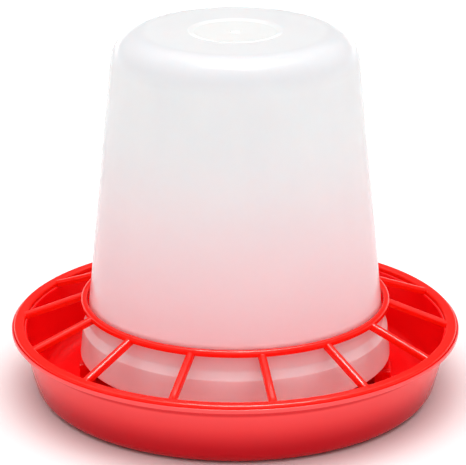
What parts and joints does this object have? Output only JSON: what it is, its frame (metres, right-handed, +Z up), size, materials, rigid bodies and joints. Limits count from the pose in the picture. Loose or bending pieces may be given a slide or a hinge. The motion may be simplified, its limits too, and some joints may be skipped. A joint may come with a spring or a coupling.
{
  "type": "poultry feeder",
  "caption": "Free-standing trough feeder for poultry: a round tray, a spoked grille on its rim and an inverted translucent hopper that keeps the trough filled.",
  "frame": {"origin": "centre of the tray's underside, on the surface that the feeder stands on", "axes": "+Z up along the feeder's axis; +X towards one support post and one spoke of the grille"},
  "size_m": [0.28, 0.28, 0.23],
  "materials": {
    "tray_red": "moulded polypropylene, satin gloss",
    "grille_red": "moulded polypropylene, satin gloss",
    "hopper_milky": "translucent milky polypropylene, satin gloss"
  },
  "bodies": {
    "tray": {"tray": "tray_red"},
    "hopper": {"hopper": "hopper_milky"},
    "grille": {"grille": "grille_red"}
  },
  "joints": [
    {"name": "hopper_lift", "type": "slide", "parent": "tray", "child": "hopper", "axis": [0, 0, 1], "range_m": [0, 0.08]},
    {"name": "grille_lift", "type": "slide", "parent": "hopper", "child": "grille", "axis": [0, 0, 1], "range_m": [0, 0.195]}
  ]
}
